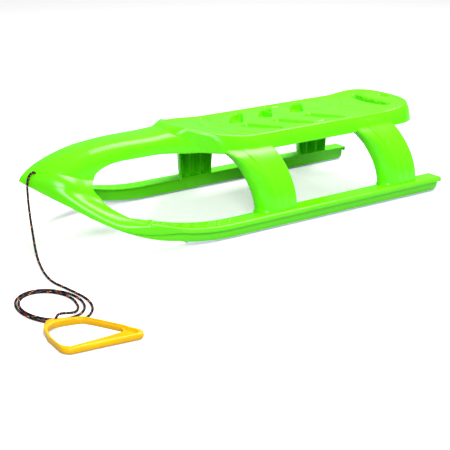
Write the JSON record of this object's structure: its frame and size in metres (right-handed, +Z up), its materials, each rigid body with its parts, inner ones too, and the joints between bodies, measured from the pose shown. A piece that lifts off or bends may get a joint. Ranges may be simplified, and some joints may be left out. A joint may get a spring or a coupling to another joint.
{
  "type": "snow sled",
  "caption": "Child's moulded plastic snow sled with steel runner strips and a tow cord with a triangular pull handle.",
  "frame": {"origin": "on the ground under the middle of the sled, without its tow cord and handle", "axes": "+Z up, -Y towards the nose, +X towards the side whose flank has the cord hole"},
  "size_m": [0.7315, 1.2235, 0.2206],
  "materials": {
    "body": "semi-gloss moulded polyethylene, lime green",
    "strip": "plain cold-rolled steel strip",
    "screw": "zinc-plated countersunk screws",
    "cord": "braided polypropylene cord, navy with red, green and yellow flecks",
    "handle": "glossy yellow moulded plastic"
  },
  "bodies": {
    "root": {"sled_body": "body", "runner_strip_left": "strip", "runner_strip_right": "strip", "strip_screws_left": "screw", "strip_screws_right": "screw", "nose_knot": "cord", "tow_cord": "cord", "cord_coil": "cord", "cord_end": "cord", "handle_knot": "cord", "pull_handle": "handle"}
  },
  "joints": []
}
